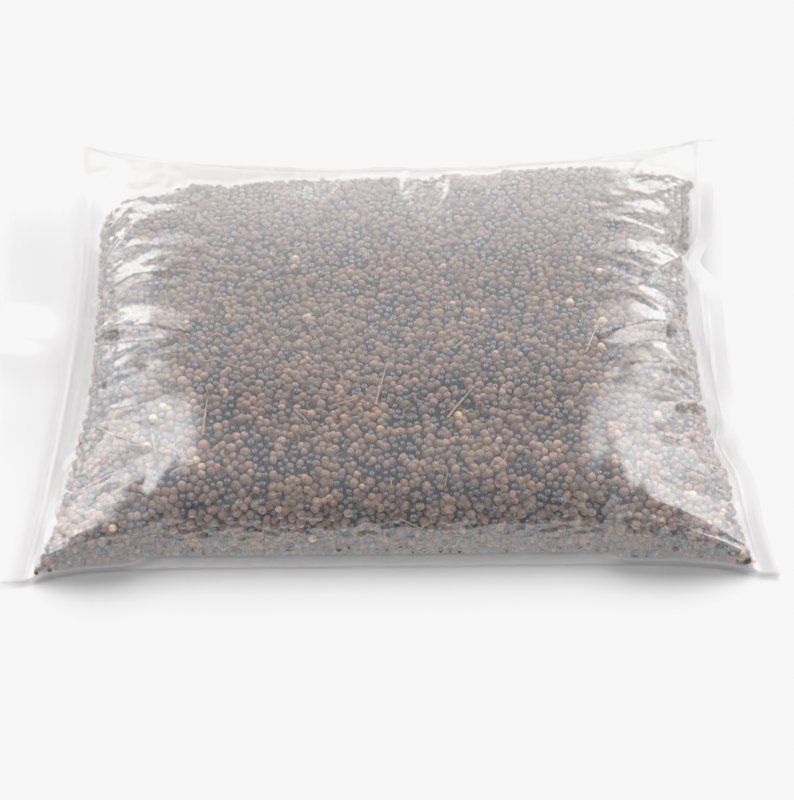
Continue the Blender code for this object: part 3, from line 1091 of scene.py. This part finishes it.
# %% Camera
FRAME_WIDTH, FRAME_HEIGHT, FOCAL_PIXELS = 794, 800, 1672
LOOK_DOWN, TILT, TURN = math.radians(51.2), math.radians(-0.88), math.radians(-0.35)
camera_data = bpy.data.cameras.new("camera")
camera_data.sensor_width = 36.0
camera_data.lens = FOCAL_PIXELS * camera_data.sensor_width / max(FRAME_WIDTH, FRAME_HEIGHT)
camera = placed("camera", camera_data)
look = Matrix.Rotation(math.pi / 2 - LOOK_DOWN, 4, "X") @ Matrix.Rotation(TILT, 4, "Z")
camera.matrix_world = Matrix.Translation((0.0184, -0.510, 0.602)) @ Matrix.Rotation(-TURN, 4, "Z") @ look
scene.camera = camera
print("camera:", round(camera.matrix_world.translation.length, 3), "m from the middle of the floor")

# %% [markdown]
# ## Floor
#
# A matt white sheet. The film's steep front mirrors the floor close to it, which looks very bright in the
# real bag's front. A glow that only reflections see there stands for it.


# %% Floor
FLOOR_COLOUR, FLOOR_GLOW = (0.70, 0.70, 0.70, 1), 1.8


def bright_floor():
    made, tree, shader = new_material("floor", 0.9, 0.0)
    shader.inputs["Base Color"].default_value = FLOOR_COLOUR
    place = tree.nodes.new("ShaderNodeTexCoord").outputs["Object"]
    parts = add_node(tree, "ShaderNodeSeparateXYZ", Vector=place)
    near_bag = map_range(tree, parts.outputs["Y"], -0.32, -0.24, 0.0, FLOOR_GLOW)
    mirrored = tree.nodes.new("ShaderNodeLightPath").outputs["Is Glossy Ray"]
    glow = add_node(tree, "ShaderNodeEmission", Strength=arithmetic(tree, "MULTIPLY", near_bag, mirrored))
    both = tree.nodes.new("ShaderNodeAddShader")
    feed(tree, both.inputs[0], shader.outputs[0])
    feed(tree, both.inputs[1], glow.outputs[0])
    feed(tree, tree.nodes["Material Output"].inputs["Surface"], both.outputs[0])
    return made


floor_shape = bmesh.new()
bmesh.ops.create_grid(floor_shape, x_segments=1, y_segments=1, size=3.0)
floor = as_object("floor", floor_shape, bright_floor())


# %% [markdown]
# ## Studio
#
# An even sky lights the scene. The film mirrors brighter things, which the world shows to glossy rays alone:
# a low screen behind the bag, which whitens its far half, a soft box at each side for the folds at both
# ends, two patches low behind for the far corners, and a little more light in front. Each is a product of
# smooth fades over the parts of a direction: X sideways, Y back and Z up.


# %% World: an even sky, and screens that only reflections see
SKY_LOW, SKY_TOP_MORE = 0.25, 0.36
SCREEN, SIDE_BOX, PATCH, FRONT_MORE = 3.7, 7.4, 6.0, 0.45
SCREEN_FULL_BELOW, SCREEN_GONE_ABOVE = math.sin(math.radians(33)), math.sin(math.radians(63))
# A side box turns towards the front: there it begins further out and ends lower, by this much
BOX_LEAN = 0.12


def studio():
    world = bpy.data.worlds.new("studio")
    world.use_nodes = True
    scene.world = world
    tree = world.node_tree
    backdrop = tree.nodes["Background"]
    backdrop.inputs["Color"].default_value = (1.0, 1.0, 1.0, 1.0)
    direction = tree.nodes.new("ShaderNodeTexCoord").outputs["Generated"]
    across, back, up = add_node(tree, "ShaderNodeSeparateXYZ", Vector=direction).outputs
    sideways = arithmetic(tree, "ABSOLUTE", across, 0.0)
    lean = map_range(tree, back, 0.40, 0.60, BOX_LEAN, 0.0, smooth=True)
    wider = arithmetic(tree, "ADD", sideways, lean)
    higher = arithmetic(tree, "SUBTRACT", up, lean)

    def product(*fades):
        """All the fades multiplied, each as a source, its start and end, and its low and high value."""
        result = map_range(tree, *fades[0], smooth=True)
        for fade in fades[1:]:
            result = arithmetic(tree, "MULTIPLY", result, map_range(tree, *fade, smooth=True))
        return result

    sky = product((up, 0.0, 1.0, SKY_LOW, SKY_LOW + SKY_TOP_MORE))
    screen = product((up, SCREEN_FULL_BELOW, SCREEN_GONE_ABOVE, SCREEN, 0.0), (back, -0.25, 0.35, 0.0, 1.0))
    box = product(
        (wider, 0.29, 0.52, 0.0, SIDE_BOX),
        (higher, 0.84, 0.97, 1.0, 0.0),
        (back, -0.50, -0.10, 0.25, 1.0),
        (sideways, 0.90, 0.97, 1.0, 0.12),
        (back, 0.30, 0.60, 1.0, 0.42),
    )
    front = product((back, 0.10, 0.45, FRONT_MORE, 0.0), (up, 0.05, 0.55, 0.0, 1.0))
    patch = product(
        (back, 0.66, 0.78, 0.0, PATCH), (sideways, 0.17, 0.29, 0.0, 1.0), (up, 0.42, 0.55, 1.0, 0.0)
    )
    seen = arithmetic(tree, "MAXIMUM", screen, box)
    for more in (front, patch):
        seen = arithmetic(tree, "ADD", seen, more)
    mirrored = tree.nodes.new("ShaderNodeLightPath").outputs["Is Glossy Ray"]
    shown = arithmetic(tree, "MULTIPLY", seen, mirrored)
    feed(tree, backdrop.inputs["Strength"], arithmetic(tree, "ADD", sky, shown))
    print("world:", len(tree.nodes), "nodes")


studio()


# %% [markdown]
# The key light is broad and stands behind the bag, halfway up, so its soft shadow falls forwards. It isn't
# mirrored: the screens are. Last, a tone curve bends the brightest tones down to the photograph's white.


# %% Key light and tone curve
KEY_HEIGHT, KEY_TURN, KEY_SPREAD, KEY_STRENGTH = 49, -8, 40, 4.12
SHOULDER, WHITE = 0.85, 0.93


def key_light():
    lamp = bpy.data.lights.new("key", "SUN")
    lamp.angle = math.radians(KEY_SPREAD)
    lamp.energy = KEY_STRENGTH
    holder = placed("key", lamp)
    lower = Matrix.Rotation(math.radians(KEY_HEIGHT - 90), 4, "X")
    holder.matrix_world = Matrix.Rotation(math.radians(KEY_TURN), 4, "Z") @ lower
    holder.visible_glossy = False
    print("key light:", KEY_HEIGHT, "degrees up,", KEY_SPREAD, "degrees wide")


key_light()
scene.view_settings.view_transform = "Standard"
scene.view_settings.use_curve_mapping = True
tones = scene.view_settings.curve_mapping
tones.extend = "HORIZONTAL"
curve_points = tones.curves[3].points
curve_points[1].location = (1.0, WHITE)
curve_points.new(SHOULDER, SHOULDER)
for point in curve_points:
    point.handle_type = "VECTOR"
tones.update()
